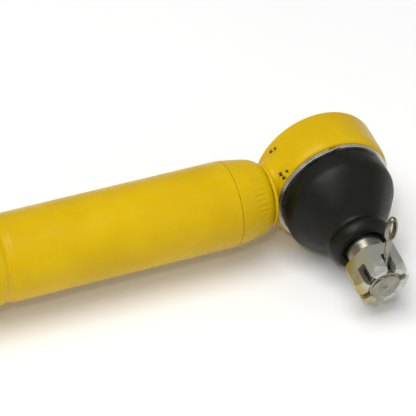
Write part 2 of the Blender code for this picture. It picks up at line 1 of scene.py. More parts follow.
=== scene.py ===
"""The finished look of a hydraulic steering damper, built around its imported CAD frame.

The nodes that show are replaced by detailed pieces close to their sizes, and so are the sleeves inside the
boots. The other hidden nodes keep their CAD shapes. Pieces are drawn in three kinds of local frame, in
millimetres: along the cylinder from the centre of ball A, along each ball joint housing from its ball
centre, and along each stud from its ball centre.
"""

import json
import math

import bmesh
import bpy
import numpy as np
from mathutils import Matrix, Vector, noise


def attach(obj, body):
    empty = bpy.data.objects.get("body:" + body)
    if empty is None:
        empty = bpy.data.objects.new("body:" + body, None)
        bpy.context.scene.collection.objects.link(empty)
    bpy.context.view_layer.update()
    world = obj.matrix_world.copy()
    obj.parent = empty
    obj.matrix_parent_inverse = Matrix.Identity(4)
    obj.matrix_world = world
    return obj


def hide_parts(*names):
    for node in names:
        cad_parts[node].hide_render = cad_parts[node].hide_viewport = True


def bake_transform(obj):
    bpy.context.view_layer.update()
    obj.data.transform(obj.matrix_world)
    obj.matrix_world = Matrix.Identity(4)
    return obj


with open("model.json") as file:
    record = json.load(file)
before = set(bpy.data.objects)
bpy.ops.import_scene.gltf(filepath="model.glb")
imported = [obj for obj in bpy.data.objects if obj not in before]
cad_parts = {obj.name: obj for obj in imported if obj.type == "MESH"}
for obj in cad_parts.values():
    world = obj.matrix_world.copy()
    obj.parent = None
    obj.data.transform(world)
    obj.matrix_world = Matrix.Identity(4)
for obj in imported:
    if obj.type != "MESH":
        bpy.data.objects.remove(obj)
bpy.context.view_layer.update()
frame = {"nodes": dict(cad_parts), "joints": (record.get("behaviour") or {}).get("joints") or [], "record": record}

MM = 0.001
TURN = 2 * math.pi

# How finely round pieces are drawn
AROUND = 160
AROUND_CUP = 352
AROUND_STUD = 96
HOUSING_VOXEL = 0.42

# Sizes along the cylinder, in mm from the centre of ball A
TUBE_RADIUS = 18.5
TUBE_BORE = 16.5
TUBE_START = 45.9
TUBE_END = 362.2
GROOVE_STATION = 148.3
GROOVE_DEPTH = 0.8
CUP_SKIRT_END = 58.0
CUP_SKIRT_RADIUS = 16.2
CUP_BORE = 14.0
CRIMP_MARKS = 44
CRIMP_START = 32.6
CRIMP_END = 38.6
SHROUD_RADIUS = 20.8
SHROUD_LIP_RADIUS = 21.3
SHROUD_BORE = 19.7
SHROUD_START = 281.0
CAP_START = 436.4
CAP_END = 440.3
CAP_BORE = 5.3

# Sizes of the ball joint, in mm along the housing from the ball centre
DRUM_RADIUS = 27.8
DRUM_TAPER = 0.6
DRUM_BACK = -11.9
DRUM_FRONT = 7.3
COLLAR_RADIUS = 22.5
COLLAR_BACK = -16.6
COVER_RADIUS = 19.2
NECK_FACE = 28.9
NECK_RADIUS = 12.4
BEAD_RADIUS = 12.9
BEAD_STATION = 28.1
RING_OUTER = 25.5
RING_INNER = 22.0
RING_START = 7.6
RING_END = 9.2
BOOT_STILL_UP_TO = 12.0
BOOT_FOLLOWS_FROM = 31.0

# Sizes of the stud, nut and split pin, in mm along the stud from the ball centre
BALL_RADIUS = 10.5
SHANK_RADIUS = 8.1
SHANK_END = 41.0
THREAD_START = 47.2
THREAD_RADIUS = 7.0
THREAD_PITCH = 1.5
THREAD_DEPTH = 0.85
STUD_END = 61.9
NUT_ACROSS_FLATS = 22.2
NUT_BASE = 47.6
NUT_TIP = 61.4
NUT_SLOT_FLOOR = 53.2
NUT_SLOT_WIDTH = 4.0
NUT_TIP_RADIUS = 10.3
NUT_BORE = 7.15
NUT_TURN = 112.9
NUT_EDGE = 0.22
NUT_SEGMENTS = 96
PIN_STATION = 56.6
PIN_HOLE_RADIUS = 1.9
PIN_WIDTH = 2.8
PIN_LEG_THICKNESS = 1.25
PIN_CROSSING_RADIUS = 5.5
PIN_DEPTH_TO_CROSSING = 1.55
PIN_LEAN = 14.8
PIN_LENGTH = 26.8
PIN_EYE_LENGTH = 10.0
PIN_EYE_HALF_WIDTH = 3.5


# ---------------------------------------------------------------------------------------------------------
# Local frames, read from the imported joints
# ---------------------------------------------------------------------------------------------------------
def joint_named(name):
    return next(joint for joint in frame["joints"] if joint["name"] == name)


def axes_at(origin, along, side):
    """A frame whose Z is along, and whose X is as near to side as it can be."""
    z = Vector(along).normalized()
    y = z.cross(Vector(side)).normalized()
    x = y.cross(z)
    matrix = Matrix((x, y, z)).transposed().to_4x4()
    matrix.translation = Vector(origin)
    return matrix


BALL = {end: Vector(joint_named(f"{end}_stud_tilt")["pos_m"]) for end in "ab"}
STUD_AXIS = {end: Vector(joint_named(f"{end}_stud_spin")["axis"]) for end in "ab"}
HOUSING_AXIS = Vector((0, -1, 0))
OUTWARD = {"a": Vector((1, 0, 0)), "b": Vector((-1, 0, 0))}
HOUSING_BODY = {"a": "cylinder", "b": "rod"}
CYLINDER_FRAME = axes_at(BALL["a"], (-1, 0, 0), (0, 0, 1))
HOUSING_FRAME = {end: axes_at(BALL[end], HOUSING_AXIS, OUTWARD[end]) for end in "ab"}
STUD_FRAME = {end: axes_at(BALL[end], STUD_AXIS[end], OUTWARD[end]) for end in "ab"}
PIN_TURN = {"a": NUT_TURN - 30, "b": NUT_TURN - 210}


# ---------------------------------------------------------------------------------------------------------
# Outlines, as (radius, station) points in mm
# ---------------------------------------------------------------------------------------------------------
def rounded(corners, steps=5):
    """An open outline through (radius, station, fillet) corners, each fillet drawn as a curve."""
    line = [Vector(corners[0][:2])]
    for before, here, after in zip(corners, corners[1:], corners[2:]):
        corner = Vector(here[:2])
        back = Vector(before[:2]) - corner
        ahead = Vector(after[:2]) - corner
        reach = min(here[2], 0.48 * back.length, 0.48 * ahead.length)
        if reach <= 0:
            line.append(corner)
            continue
        first = corner + back.normalized() * reach
        last = corner + ahead.normalized() * reach
        for i in range(steps + 1):
            t = i / steps
            line.append((1 - t) ** 2 * first + 2 * t * (1 - t) * corner + t * t * last)
    line.append(Vector(corners[-1][:2]))
    return [tuple(point) for point in line]


def smooth_line(points, steps=6):
    """A curve that passes through every point."""
    line = []
    for i in range(len(points) - 1):
        p0 = Vector(points[max(i - 1, 0)])
        p1 = Vector(points[i])
        p2 = Vector(points[i + 1])
        p3 = Vector(points[min(i + 2, len(points) - 1)])
        for k in range(steps):
            t = k / steps
            a = 2 * p1
            b = (p2 - p0) * t
            c = (2 * p0 - 5 * p1 + 4 * p2 - p3) * t * t
            d = (3 * p1 - p0 - 3 * p2 + p3) * t ** 3
            line.append(tuple(0.5 * (a + b + c + d)))
    line.append(tuple(points[-1]))
    return line


def divided(line, longest):
    """The same outline with its long straight runs cut into shorter ones."""
    out = [line[0]]
    for first, last in zip(line, line[1:]):
        length = math.dist(first, last)
        pieces = max(1, math.ceil(length / longest))
        for i in range(1, pieces + 1):
            t = i / pieces
            out.append((first[0] + (last[0] - first[0]) * t, first[1] + (last[1] - first[1]) * t))
    return out


def sphere_line(radius, start, end, steps):
    """Part of a ball's outline, with angles in degrees from its back pole."""
    angles = [math.radians(start + (end - start) * i / steps) for i in range(steps + 1)]
    return [(radius * math.sin(angle), -radius * math.cos(angle)) for angle in angles]


def step_between(value, low, high):
    t = np.clip((value - low) / (high - low), 0.0, 1.0)
    return t * t * (3 - 2 * t)


# ---------------------------------------------------------------------------------------------------------
# Mesh building
# ---------------------------------------------------------------------------------------------------------
def mesh_from(name, points, faces):
    mesh = bpy.data.meshes.new(name)
    mesh.from_pydata([tuple(point) for point in points], [], faces)
    bm = bmesh.new()
    bm.from_mesh(mesh)
    bmesh.ops.recalc_face_normals(bm, faces=bm.faces)
    bm.to_mesh(mesh)
    bm.free()
    return mesh


def turned_mesh(name, line, around=AROUND, closed=False, shape=None):
    """Turns an outline round local Z. shape moves the points, given as arrays of radius, station and angle.

    A point on the axis is drawn once, so the faces round it are triangles.
    """
    angles = np.arange(around) * TURN / around
    points = []
    rows = []
    for radius, station in line:
        if radius < 1e-6:
            rows.append([len(points)])
            points.append((0.0, 0.0, station * MM))
            continue
        radii, stations = np.full(around, float(radius)), np.full(around, float(station))
        if shape:
            radii, stations = shape(radii, stations, angles)
        rows.append(list(range(len(points), len(points) + around)))
        points += zip(radii * np.cos(angles) * MM, radii * np.sin(angles) * MM, stations * MM)
    faces = []
    pairs = list(zip(rows, rows[1:]))
    if closed:
        pairs.append((rows[-1], rows[0]))
    for first, second in pairs:
        for i in range(around):
            j = (i + 1) % around
            corners = [
                first[i % len(first)],
                first[j % len(first)],
                second[j % len(second)],
                second[i % len(second)],
            ]
            corners = list(dict.fromkeys(corners))
            if len(corners) > 2:
                faces.append(corners)
    return mesh_from(name, points, faces)


def swept_mesh(name, centres, sections, closed=False):
    """Joins sections of points placed along a route. An open sweep gets end caps."""
    points = [centre + offset for centre, section in zip(centres, sections) for offset in section]
    count = len(sections[0])
    rows = len(centres)
    faces = []
    for row in range(rows if closed else rows - 1):
        after = (row + 1) % rows
        for i in range(count):
            j = (i + 1) % count
            faces.append([row * count + i, row * count + j, after * count + j, after * count + i])
    if not closed:
        faces.append(list(range(count)))
        faces.append([(rows - 1) * count + i for i in range(count)])
    return mesh_from(name, points, faces)


def place(name, mesh, matrix, smooth_angle=40):
    obj = bpy.data.objects.new(name, mesh)
    bpy.context.scene.collection.objects.link(obj)
    obj.matrix_world = matrix
    mesh.shade_smooth()
    mesh.set_sharp_from_angle(angle=math.radians(smooth_angle))
    return obj


def apply_modifiers(obj):
    bpy.context.view_layer.update()
    graph = bpy.context.evaluated_depsgraph_get()
    mesh = bpy.data.meshes.new_from_object(obj.evaluated_get(graph))
    old = obj.data
    obj.modifiers.clear()
    obj.data = mesh
    bpy.data.meshes.remove(old)
    return obj


def boolean(obj, mesh, matrix, operation):
    """Joins a mesh to obj or cuts it away, at once."""
    other = bpy.data.objects.new("tool", mesh)
    bpy.context.scene.collection.objects.link(other)
    other.matrix_world = matrix
    modifier = obj.modifiers.new("boolean", "BOOLEAN")
    modifier.operation = operation
    modifier.solver = "EXACT"
    modifier.object = other
    apply_modifiers(obj)
    bpy.data.objects.remove(other, do_unlink=True)
    return obj


def finish_piece(obj, body, slot, *nodes):
    """Gives a piece its material and the body it moves with, and hides the CAD nodes that it stands for."""
    obj.data.materials.clear()
    obj.data.materials.append(LOOK[slot])
    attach(obj, body)
    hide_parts(*nodes)
    return obj


# ---------------------------------------------------------------------------------------------------------
# Materials
# ---------------------------------------------------------------------------------------------------------
class Nodes:
    """Short calls for building a material's node tree."""

    def __init__(self, name):
        self.material = bpy.data.materials.new(name)
        self.material.use_nodes = True
        self.tree = self.material.node_tree
        self.shader = self.tree.nodes["Principled BSDF"]
        self.place = self.add("ShaderNodeTexCoord").outputs["Object"]

    def add(self, kind, **settings):
        node = self.tree.nodes.new(kind)
        for key, value in settings.items():
            setattr(node, key, value)
        return node

    def link(self, value, socket):
        if isinstance(value, bpy.types.NodeSocket):
            self.tree.links.new(value, socket)
        else:
            socket.default_value = value

    def mapped(self, scale):
        node = self.add("ShaderNodeMapping")
        self.link(self.place, node.inputs["Vector"])
        node.inputs["Scale"].default_value = scale
        return node.outputs["Vector"]

    def noise(self, size_mm, detail=3.0, rough=0.55, distort=0.0, vector=None):
        """Cloudy noise whose features are about size_mm across, from 0 to 1."""
        node = self.add("ShaderNodeTexNoise")
        self.link(vector or self.place, node.inputs["Vector"])
        node.inputs["Scale"].default_value = 1.0 / (size_mm * MM)
        node.inputs["Detail"].default_value = detail
        node.inputs["Roughness"].default_value = rough
        node.inputs["Distortion"].default_value = distort
        return node.outputs["Fac"]

    def cells(self, size_mm):
        """Distance to the nearest of many scattered points about size_mm apart."""
        node = self.add("ShaderNodeTexVoronoi", feature="F1")
        self.link(self.place, node.inputs["Vector"])
        node.inputs["Scale"].default_value = 1.0 / (size_mm * MM)
        return node.outputs["Distance"]

    def math(self, operation, a, b):
        node = self.add("ShaderNodeMath", operation=operation)
        self.link(a, node.inputs[0])
        self.link(b, node.inputs[1])
        return node.outputs[0]

    def band(self, value, low, high, start=0.0, end=1.0):
        """Takes value from low to high smoothly over to start to end."""
        node = self.add("ShaderNodeMapRange", interpolation_type="SMOOTHSTEP")
        self.link(value, node.inputs["Value"])
        for key, number in zip(("From Min", "From Max", "To Min", "To Max"), (low, high, start, end)):
            node.inputs[key].default_value = number
        return node.outputs["Result"]

    def mix(self, factor, a, b):
        node = self.add("ShaderNodeMix", data_type="RGBA")
        self.link(factor, node.inputs["Factor"])
        self.link(a, node.inputs["A"])
        self.link(b, node.inputs["B"])
        return node.outputs["Result"]

    def bump(self, height, depth_mm, normal=None):
        node = self.add("ShaderNodeBump")
        node.inputs["Strength"].default_value = 1.0
        node.inputs["Distance"].default_value = depth_mm * MM
        self.link(height, node.inputs["Height"])
        if normal:
            self.link(normal, node.inputs["Normal"])
        return node.outputs["Normal"]

    def separate(self):
        node = self.add("ShaderNodeSeparateXYZ")
        self.link(self.place, node.inputs[0])
        return node.outputs

    def distance_to(self, point_mm):
        node = self.add("ShaderNodeVectorMath", operation="DISTANCE")
        self.link(self.place, node.inputs[0])
        node.inputs[1].default_value = Vector(point_mm) * MM
        return node.outputs["Value"]

    def set(self, **values):
        for key, value in values.items():
            self.link(value, self.shader.inputs[key.replace("_", " ")])
        return self.material


# Depth of the skin texture on rubber, in mm
RUBBER_BUMP = 0.03


def rgb(red, green, blue):
    return (red, green, blue, 1.0)


YELLOW_DEEP = rgb(0.59, 0.375, 0.0012)
YELLOW_LIT = rgb(0.66, 0.435, 0.0018)
YELLOW_DIRTY = rgb(0.36, 0.20, 0.012)
PRIMER_DARK = rgb(0.018, 0.015, 0.010)

# How far a chip sinks below the paint, in mm
CHIP_DEPTH = 0.16


def paint_chips(n, chips, chip_amount):
    """Where the paint is gone, from 0 to 1: at each listed chip, and in spots if chip_amount is given."""
    chip = 0.0
    ragged = n.noise(0.8, 5.0, 0.75)
    for place_mm, size_mm in chips:
        reach = n.math("ADD", n.distance_to(place_mm), n.math("MULTIPLY", ragged, size_mm * 2.8 * MM))
        here = n.band(reach, size_mm * 2.10 * MM, size_mm * 1.90 * MM)
        chip = n.math("MAXIMUM", chip, here)
    if chip_amount:
        spots = n.band(n.noise(2.3, 5.0, 0.62, 0.4), 0.735 - chip_amount, 0.75 - chip_amount)
        chip = n.math("MAXIMUM", chip, spots)
    return chip


def yellow_paint(name, chips=(), chip_amount=0.0, lumpy=0.0):
    """Enamel over steel, with orange peel, grime and scuffs, and chips down to dark metal where asked for."""
    n = Nodes(name)
    tone = n.noise(38.0, 4.0)
    colour = n.mix(n.band(tone, 0.35, 0.68), YELLOW_DEEP, YELLOW_LIT)
    scuff = n.noise(5.0, 8.0, 0.7, 1.2)
    scuffed = n.band(scuff, 0.63, 0.72)
    colour = n.mix(n.math("MULTIPLY", scuffed, 0.22), colour, rgb(0.82, 0.62, 0.10))
    grime = n.band(n.noise(11.0, 6.0, 0.65), 0.58, 0.80)
    colour = n.mix(n.math("MULTIPLY", grime, 0.10), colour, YELLOW_DIRTY)
    speck = n.band(n.cells(2.6), 0.10, 0.055)
    sparse = n.band(n.noise(9.0, 2.0), 0.60, 0.66)
    speck = n.math("MULTIPLY", speck, sparse)
    colour = n.mix(n.math("MULTIPLY", speck, 0.5), colour, YELLOW_DIRTY)
    rough = n.band(n.noise(7.0, 5.0), 0.3, 0.7, 0.24, 0.36)
    rough = n.math("ADD", rough, n.math("MULTIPLY", scuffed, 0.12))
    peel = n.bump(n.noise(1.5, 2.0, 0.5), 0.035 + 0.10 * lumpy)
    normal = n.bump(n.noise(6.5, 2.0, 0.5), 0.06 + 0.35 * lumpy, peel)
    if chips or chip_amount:
        chip = paint_chips(n, chips, chip_amount)
        colour = n.mix(chip, colour, PRIMER_DARK)
        rough = n.math("ADD", rough, n.math("MULTIPLY", chip, 0.35))
        normal = n.bump(n.math("SUBTRACT", 1.0, chip), CHIP_DEPTH, normal)
    return n.set(Base_Color=colour, Roughness=rough, Normal=normal, Specular_IOR_Level=0.14)


def metal(name, dark, light, rough_low, rough_high, grain_mm=(9.0, 9.0, 0.25), stain=None, stain_amount=0.0,
          bump_mm=0.01):
    """Bare or plated metal with a fine lathe or rolling grain and cloudy stains."""
    n = Nodes(name)
    longest = max(grain_mm)
    vector = n.mapped(scale=tuple(longest / size for size in grain_mm))
    grain = n.noise(longest, 3.0, 0.6, vector=vector)
    cloud = n.noise(6.0, 5.0, 0.6)
    both = n.math("ADD", n.math("MULTIPLY", grain, 0.5), n.math("MULTIPLY", cloud, 0.5))
    colour = n.mix(n.band(both, 0.35, 0.65), dark, light)
    if stain:
        patch = n.band(n.noise(3.4, 6.0, 0.7, 0.8), 0.56, 0.70)
        colour = n.mix(n.math("MULTIPLY", patch, stain_amount), colour, stain)
    rough = n.band(both, 0.3, 0.7, rough_low, rough_high)
    return n.set(Base_Color=colour, Metallic=1.0, Roughness=rough, Normal=n.bump(grain, bump_mm))


def passivated_zinc(name):
    """Zinc plate with a patchy yellow passivation, yellower towards one side of the nut and more silver towards
    the other.
    """
    n = Nodes(name)
    axes = n.separate()
    # The colour shifts across the nut in its own frame: more silver towards +X and +Y, yellower towards -X and -Y.
    lean = n.math("ADD", n.math("MULTIPLY", axes["X"], -34.0), n.math("MULTIPLY", axes["Y"], -22.0))
    patch = n.math("ADD", lean, n.noise(7.0, 4.0, 0.6, 0.5))
    colour = n.mix(n.band(patch, 0.48, 0.92), rgb(0.50, 0.505, 0.45), rgb(0.42, 0.355, 0.13))
    tint = n.band(n.noise(3.2, 5.0, 0.65, 1.0), 0.50, 0.74)
    colour = n.mix(n.math("MULTIPLY", tint, 0.30), colour, rgb(0.42, 0.45, 0.36))
    mark = n.band(n.noise(1.6, 6.0, 0.7, 1.4), 0.66, 0.74)
    colour = n.mix(n.math("MULTIPLY", mark, 0.55), colour, rgb(0.22, 0.20, 0.14))
    rough = n.band(n.noise(2.0, 6.0, 0.7), 0.3, 0.7, 0.30, 0.48)
    height = n.math("ADD", n.noise(0.7, 4.0), n.math("MULTIPLY", mark, -0.6))
    return n.set(Base_Color=colour, Metallic=0.85, Roughness=rough, Normal=n.bump(height, 0.025))


def rubber(name, base, dust):
    """Moulded rubber with a faint dusty bloom."""
    n = Nodes(name)
    bloom = n.band(n.noise(9.0, 6.0, 0.65, 0.6), 0.42, 0.78)
    colour = n.mix(n.math("MULTIPLY", bloom, 0.55), base, dust)
    fleck = n.band(n.cells(1.7), 0.09, 0.05)
    fleck = n.math("MULTIPLY", fleck, n.band(n.noise(4.0, 2.0), 0.60, 0.66))
    colour = n.mix(n.math("MULTIPLY", fleck, 0.35), colour, rgb(0.10, 0.095, 0.08))
    roughness = n.band(n.noise(5.0, 6.0, 0.65), 0.3, 0.7, 0.36, 0.50)
    skin = n.bump(n.noise(0.6, 3.0, 0.6), RUBBER_BUMP * 0.5)
    skin = n.bump(n.noise(5.0, 3.0), RUBBER_BUMP, skin)
    return n.set(Base_Color=colour, Roughness=roughness, Normal=skin, Specular_IOR_Level=0.2)


def plastic(name, dark, light, rough):
    """Machined bearing plastic with faint turning marks."""
    n = Nodes(name)
    vector = n.mapped(scale=(1, 24, 1))
    turning = n.noise(8.0, 3.0, 0.6, vector=vector)
    colour = n.mix(n.band(turning, 0.35, 0.65), dark, light)
    roughness = n.band(n.noise(3.0, 4.0), 0.3, 0.7, rough, rough + 0.12)
    return n.set(Base_Color=colour, Roughness=roughness, Normal=n.bump(turning, 0.012))


# Chips in the housing's paint, in mm in the housing's own frame, with their sizes
HOUSING_CHIPS = (
    ((-28.5, 9.3, 7.5), 1.3),
    ((-28.9, 9.3, 0.8), 0.9),
    ((-28.5, 12.3, 1.4), 0.8),
    ((-23.4, 13.3, 4.1), 1.5),
    ((-21.4, 15.6, 5.5), 1.2),
    ((-22.8, 13.0, 6.0), 1.3),
    ((-22.7, 15.8, -8.1), 1.3),
    ((-21.2, 17.5, -7.5), 1.1),
)

LOOK = {
    "yellow_paint": yellow_paint("yellow_paint_look"),
    "housing_paint": yellow_paint("housing_paint_look", HOUSING_CHIPS, 0.0, 0.25),
    "weld_paint": yellow_paint("weld_paint_look", (), 0.045, 1.0),
    "plated_steel": metal("plated_steel_look", rgb(0.50, 0.49, 0.45), rgb(0.78, 0.77, 0.72), 0.30, 0.46,
                          stain=rgb(0.30, 0.28, 0.22), stain_amount=0.35),
    "bare_steel": metal("bare_steel_look", rgb(0.21, 0.195, 0.155), rgb(0.36, 0.34, 0.28), 0.24, 0.38,
                        stain=rgb(0.20, 0.17, 0.12), stain_amount=0.35),
    "chrome_rod": metal("chrome_rod_look", rgb(0.70, 0.71, 0.73), rgb(0.80, 0.81, 0.83), 0.05, 0.10,
                        grain_mm=(0.3, 8.0, 8.0), bump_mm=0.002),
    "spring_steel": metal("spring_steel_look", rgb(0.16, 0.16, 0.16), rgb(0.34, 0.34, 0.35), 0.30, 0.42),
    "sintered_iron": metal("sintered_iron_look", rgb(0.14, 0.14, 0.14), rgb(0.24, 0.24, 0.24), 0.50, 0.65,
                           grain_mm=(0.5, 0.5, 0.5), bump_mm=0.03),
    "aluminium": metal("aluminium_look", rgb(0.62, 0.63, 0.64), rgb(0.76, 0.77, 0.78), 0.28, 0.40,
                       grain_mm=(0.25, 9.0, 9.0)),
    "bronze": metal("bronze_look", rgb(0.44, 0.28, 0.12), rgb(0.60, 0.42, 0.20), 0.30, 0.42),
    "yellow_zinc": passivated_zinc("yellow_zinc_look"),
    "black_rubber": rubber("black_rubber_look", rgb(0.006, 0.0062, 0.0036), rgb(0.013, 0.0125, 0.008)),
    "ptfe": plastic("ptfe_look", rgb(0.20, 0.12, 0.06), rgb(0.30, 0.19, 0.11), 0.35),
    "acetal": plastic("acetal_look", rgb(0.74, 0.72, 0.64), rgb(0.84, 0.82, 0.74), 0.32),
}


# ---------------------------------------------------------------------------------------------------------
# Pieces along the cylinder
# ---------------------------------------------------------------------------------------------------------
def body_tube():
    g = GROOVE_STATION
    groove = [
        (TUBE_RADIUS, g - 2.3, 1.0),
        (TUBE_RADIUS - GROOVE_DEPTH, g - 0.9, 0.6),
        (TUBE_RADIUS - GROOVE_DEPTH, g + 0.9, 0.6),
        (TUBE_RADIUS, g + 2.3, 1.0),
    ]
    corners = [
        (TUBE_BORE, TUBE_START, 0.0),
        (TUBE_RADIUS - 0.2, TUBE_START - 0.15, 0.1),
        (TUBE_RADIUS, TUBE_START + 0.3, 0.2),
        *groove,
        (TUBE_RADIUS, TUBE_END - 1.2, 1.6),
        (TUBE_RADIUS - 1.6, TUBE_END, 1.4),
        (TUBE_BORE - 1.3, TUBE_END, 0.2),
        (TUBE_BORE - 1.3, TUBE_END - 1.5, 0.3),
        (TUBE_BORE, TUBE_END - 2.6, 0.3),
    ]
    line = divided(rounded(corners, 6), 12.0)
    tube = place("body_tube_detail", turned_mesh("body_tube_detail", line, closed=True), CYLINDER_FRAME)
    return finish_piece(tube, "cylinder", "yellow_paint", "body_tube")


def crimp_marks(radius, station, angle):
    """Short wrinkles along the cup's shoulder, where the tube was closed down over its end."""
    rng = np.random.default_rng(7)
    depth = 0.24 + 0.18 * rng.random(CRIMP_MARKS)
    start = CRIMP_START + 1.4 * rng.random(CRIMP_MARKS)
    end = CRIMP_END - 1.6 * rng.random(CRIMP_MARKS)
    offset = 0.16 * (rng.random(CRIMP_MARKS) - 0.5)
    turn = (angle / TURN * CRIMP_MARKS) % CRIMP_MARKS
    index = np.minimum(turn.astype(int), CRIMP_MARKS - 1)
    across = (turn - index - 0.5 - offset[index]) / 0.15
    along = step_between(station, start[index] - 0.8, start[index] + 0.6)
    along = along * (1 - step_between(station, end[index] - 0.6, end[index] + 1.4))
    outside = radius > TUBE_BORE * 0.55
    return radius - outside * depth[index] * along * np.exp(-across ** 2), station


def base_cup():
    shoulder = [
        (11.0, 29.15),
        (12.8, 29.2),
        (14.3, 29.9),
        (15.4, 31.3),
        (16.3, 33.6),
        (16.9, 36.2),
        (17.4, 39.0),
        (17.9, 42.0),
        (18.3, 44.9),
        (18.3, 45.6),
    ]
    line = divided([(0.0, 29.15), (11.0, 29.15)], 4.0)[:-1]
    line += divided(smooth_line(shoulder, 5), 0.5)
    line += [(CUP_SKIRT_RADIUS, 45.65), (CUP_SKIRT_RADIUS, CUP_SKIRT_END), (CUP_BORE, CUP_SKIRT_END)]
    line += [(CUP_BORE, 38.0), (12.0, 33.0), (0.0, 31.6)]
    mesh = turned_mesh("base_cup_detail", line, AROUND_CUP, shape=crimp_marks)
    cup = place("base_cup_detail", mesh, CYLINDER_FRAME)
    return finish_piece(cup, "cylinder", "yellow_paint", "base_cup")


def dust_shroud():
    corners = [
        (SHROUD_BORE, SHROUD_START, 0.2),
        (SHROUD_LIP_RADIUS, SHROUD_START, 0.5),
        (SHROUD_LIP_RADIUS, SHROUD_START + 1.8, 0.5),
        (SHROUD_RADIUS, SHROUD_START + 2.9, 0.6),
        (SHROUD_RADIUS, CAP_END, 0.5),
        (SHROUD_BORE, CAP_END, 0.2),
    ]
    corners = [(SHROUD_BORE, SHROUD_START + 4.0, 0.0)] + corners + [(SHROUD_BORE, CAP_END - 4.0, 0.0)]
    mesh = turned_mesh("dust_shroud_detail", divided(rounded(corners), 12.0), closed=True)
    shroud = place("dust_shroud_detail", mesh, CYLINDER_FRAME)
    return finish_piece(shroud, "rod", "yellow_paint", "dust_shroud")


def shroud_cap():
    edge = SHROUD_BORE - 0.15
    corners = [
        (CAP_BORE, CAP_START, 0.0),
        (edge, CAP_START, 0.3),
        (edge, CAP_END - 0.2, 0.9),
        (edge - 1.6, CAP_END - 0.1, 0.6),
        (edge - 2.6, CAP_END - 0.7, 0.6),
        (CAP_BORE + 6.0, CAP_END - 0.7, 0.2),
        (CAP_BORE, CAP_END - 0.7, 0.0),
    ]
    mesh = turned_mesh("shroud_cap_detail", rounded(corners), closed=True)
    cap = place("shroud_cap_detail", mesh, CYLINDER_FRAME)
    return finish_piece(cap, "rod", "yellow_paint", "shroud_cap")


# ---------------------------------------------------------------------------------------------------------
# Pieces of each ball joint
# ---------------------------------------------------------------------------------------------------------
def neck_mesh():
    """The forged neck, from its round welded face to the broad root inside the drum."""
    sections = []
    centres = []
    count = 64
    rows = 14
    for row in range(rows + 1):
        t = row / rows
        blend = t * t * (3 - 2 * t)
        pinch = min(t * 4.0, 1.0)
        half_width = NECK_RADIUS + 7.0 * blend
        half_height = NECK_RADIUS - 3.4 * pinch
        middle = -2.6 * pinch
        power = 2.0 / (2.0 + 1.5 * blend)
        section = []
        for k in range(count):
            c, s = math.cos(TURN * k / count), math.sin(TURN * k / count)
            y = half_width * math.copysign(abs(c) ** power, c)
            z = middle + half_height * math.copysign(abs(s) ** power, s)
            section.append(Vector((0, y, z)) * MM)
        centres.append(Vector((-(NECK_FACE - 12.0 * t), 0, 0)) * MM)
        sections.append(section)
    return swept_mesh("neck", centres, sections)


def true_up_drum(mesh):
    """Puts the remeshed drum's round and flat faces back on their exact sizes, away from the neck."""
    count = len(mesh.vertices)
    co = np.empty(count * 3)
    mesh.vertices.foreach_get("co", co)
    co = co.reshape(-1, 3) / MM
    radius = np.hypot(co[:, 0], co[:, 1])
    away = np.where((co[:, 0] > -14.0) | (np.abs(co[:, 1]) > 22.0), 1.0, 0.0)
    taper = DRUM_TAPER * (co[:, 2] - DRUM_BACK) / (DRUM_FRONT - 4.4 - DRUM_BACK)
    for exact, low, high in ((DRUM_RADIUS - taper, DRUM_BACK + 1.0, DRUM_FRONT - 5.0),
                             (COLLAR_RADIUS, COLLAR_BACK + 1.2, DRUM_BACK - 1.0)):
        near = (np.abs(radius - exact) < 0.35) & (co[:, 2] > low) & (co[:, 2] < high)
        share = np.where(near, away, 0.0)
        factor = 1 + share * (exact / np.maximum(radius, 1e-6) - 1)
        co[:, 0] *= factor
        co[:, 1] *= factor
        radius = np.hypot(co[:, 0], co[:, 1])
    mesh.vertices.foreach_set("co", (co * MM).ravel())
    mesh.update()


def housing_mesh():
    """The forged housing with its neck, its seat for the cover plate and its rolled-over back edge."""
    corners = [
        (0.0, COLLAR_BACK, 0.0),
        (COLLAR_RADIUS, COLLAR_BACK, 1.6),
        (COLLAR_RADIUS, DRUM_BACK, 1.0),
        (DRUM_RADIUS, DRUM_BACK, 0.9),
        (DRUM_RADIUS - DRUM_TAPER, DRUM_FRONT - 3.4, 2.2),
        (DRUM_RADIUS - 1.5, DRUM_FRONT - 0.2, 1.5),
        (DRUM_RADIUS - 3.6, DRUM_FRONT, 0.8),
        (0.0, DRUM_FRONT, 0.0),
    ]
    identity = Matrix.Identity(4)
    housing = place("housing", turned_mesh("housing", rounded(corners, 8)), identity)
    boolean(housing, neck_mesh(), identity, "UNION")
    seat = [
        (0.0, COLLAR_BACK - 1.0, 0.0),
        (17.6, COLLAR_BACK - 1.0, 0.0),
        (18.3, COLLAR_BACK + 0.9, 0.3),
        (COVER_RADIUS + 0.1, COLLAR_BACK + 0.9, 0.0),
        (COVER_RADIUS + 0.1, -12.9, 0.0),
        (16.5, -12.9, 0.0),
        (16.5, 5.4, 0.0),
        (10.0, 5.4, 0.0),
        (12.0, DRUM_FRONT + 0.5, 0.0),
        (0.0, DRUM_FRONT + 0.5, 0.0),
    ]
    boolean(housing, turned_mesh("seat", rounded(seat)), identity, "DIFFERENCE")
    remesh = housing.modifiers.new("remesh", "REMESH")
    remesh.mode = "VOXEL"
    remesh.voxel_size = HOUSING_VOXEL * MM
    apply_modifiers(housing)
    smooth = housing.modifiers.new("smooth", "SMOOTH")
    smooth.factor = 0.5
    smooth.iterations = 6
    apply_modifiers(housing)
    true_up_drum(housing.data)
    mesh = housing.data
    bpy.data.objects.remove(housing, do_unlink=True)
    return mesh


def ball_housing(end, mesh):
    housing = place(f"{end}_ball_housing_detail", mesh.copy(), HOUSING_FRAME[end], 60)
    housing.data.materials.clear()
    housing.data.materials.append(LOOK["housing_paint"])
    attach(housing, HOUSING_BODY[end])
    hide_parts(f"{end}_ball_housing")
    return housing


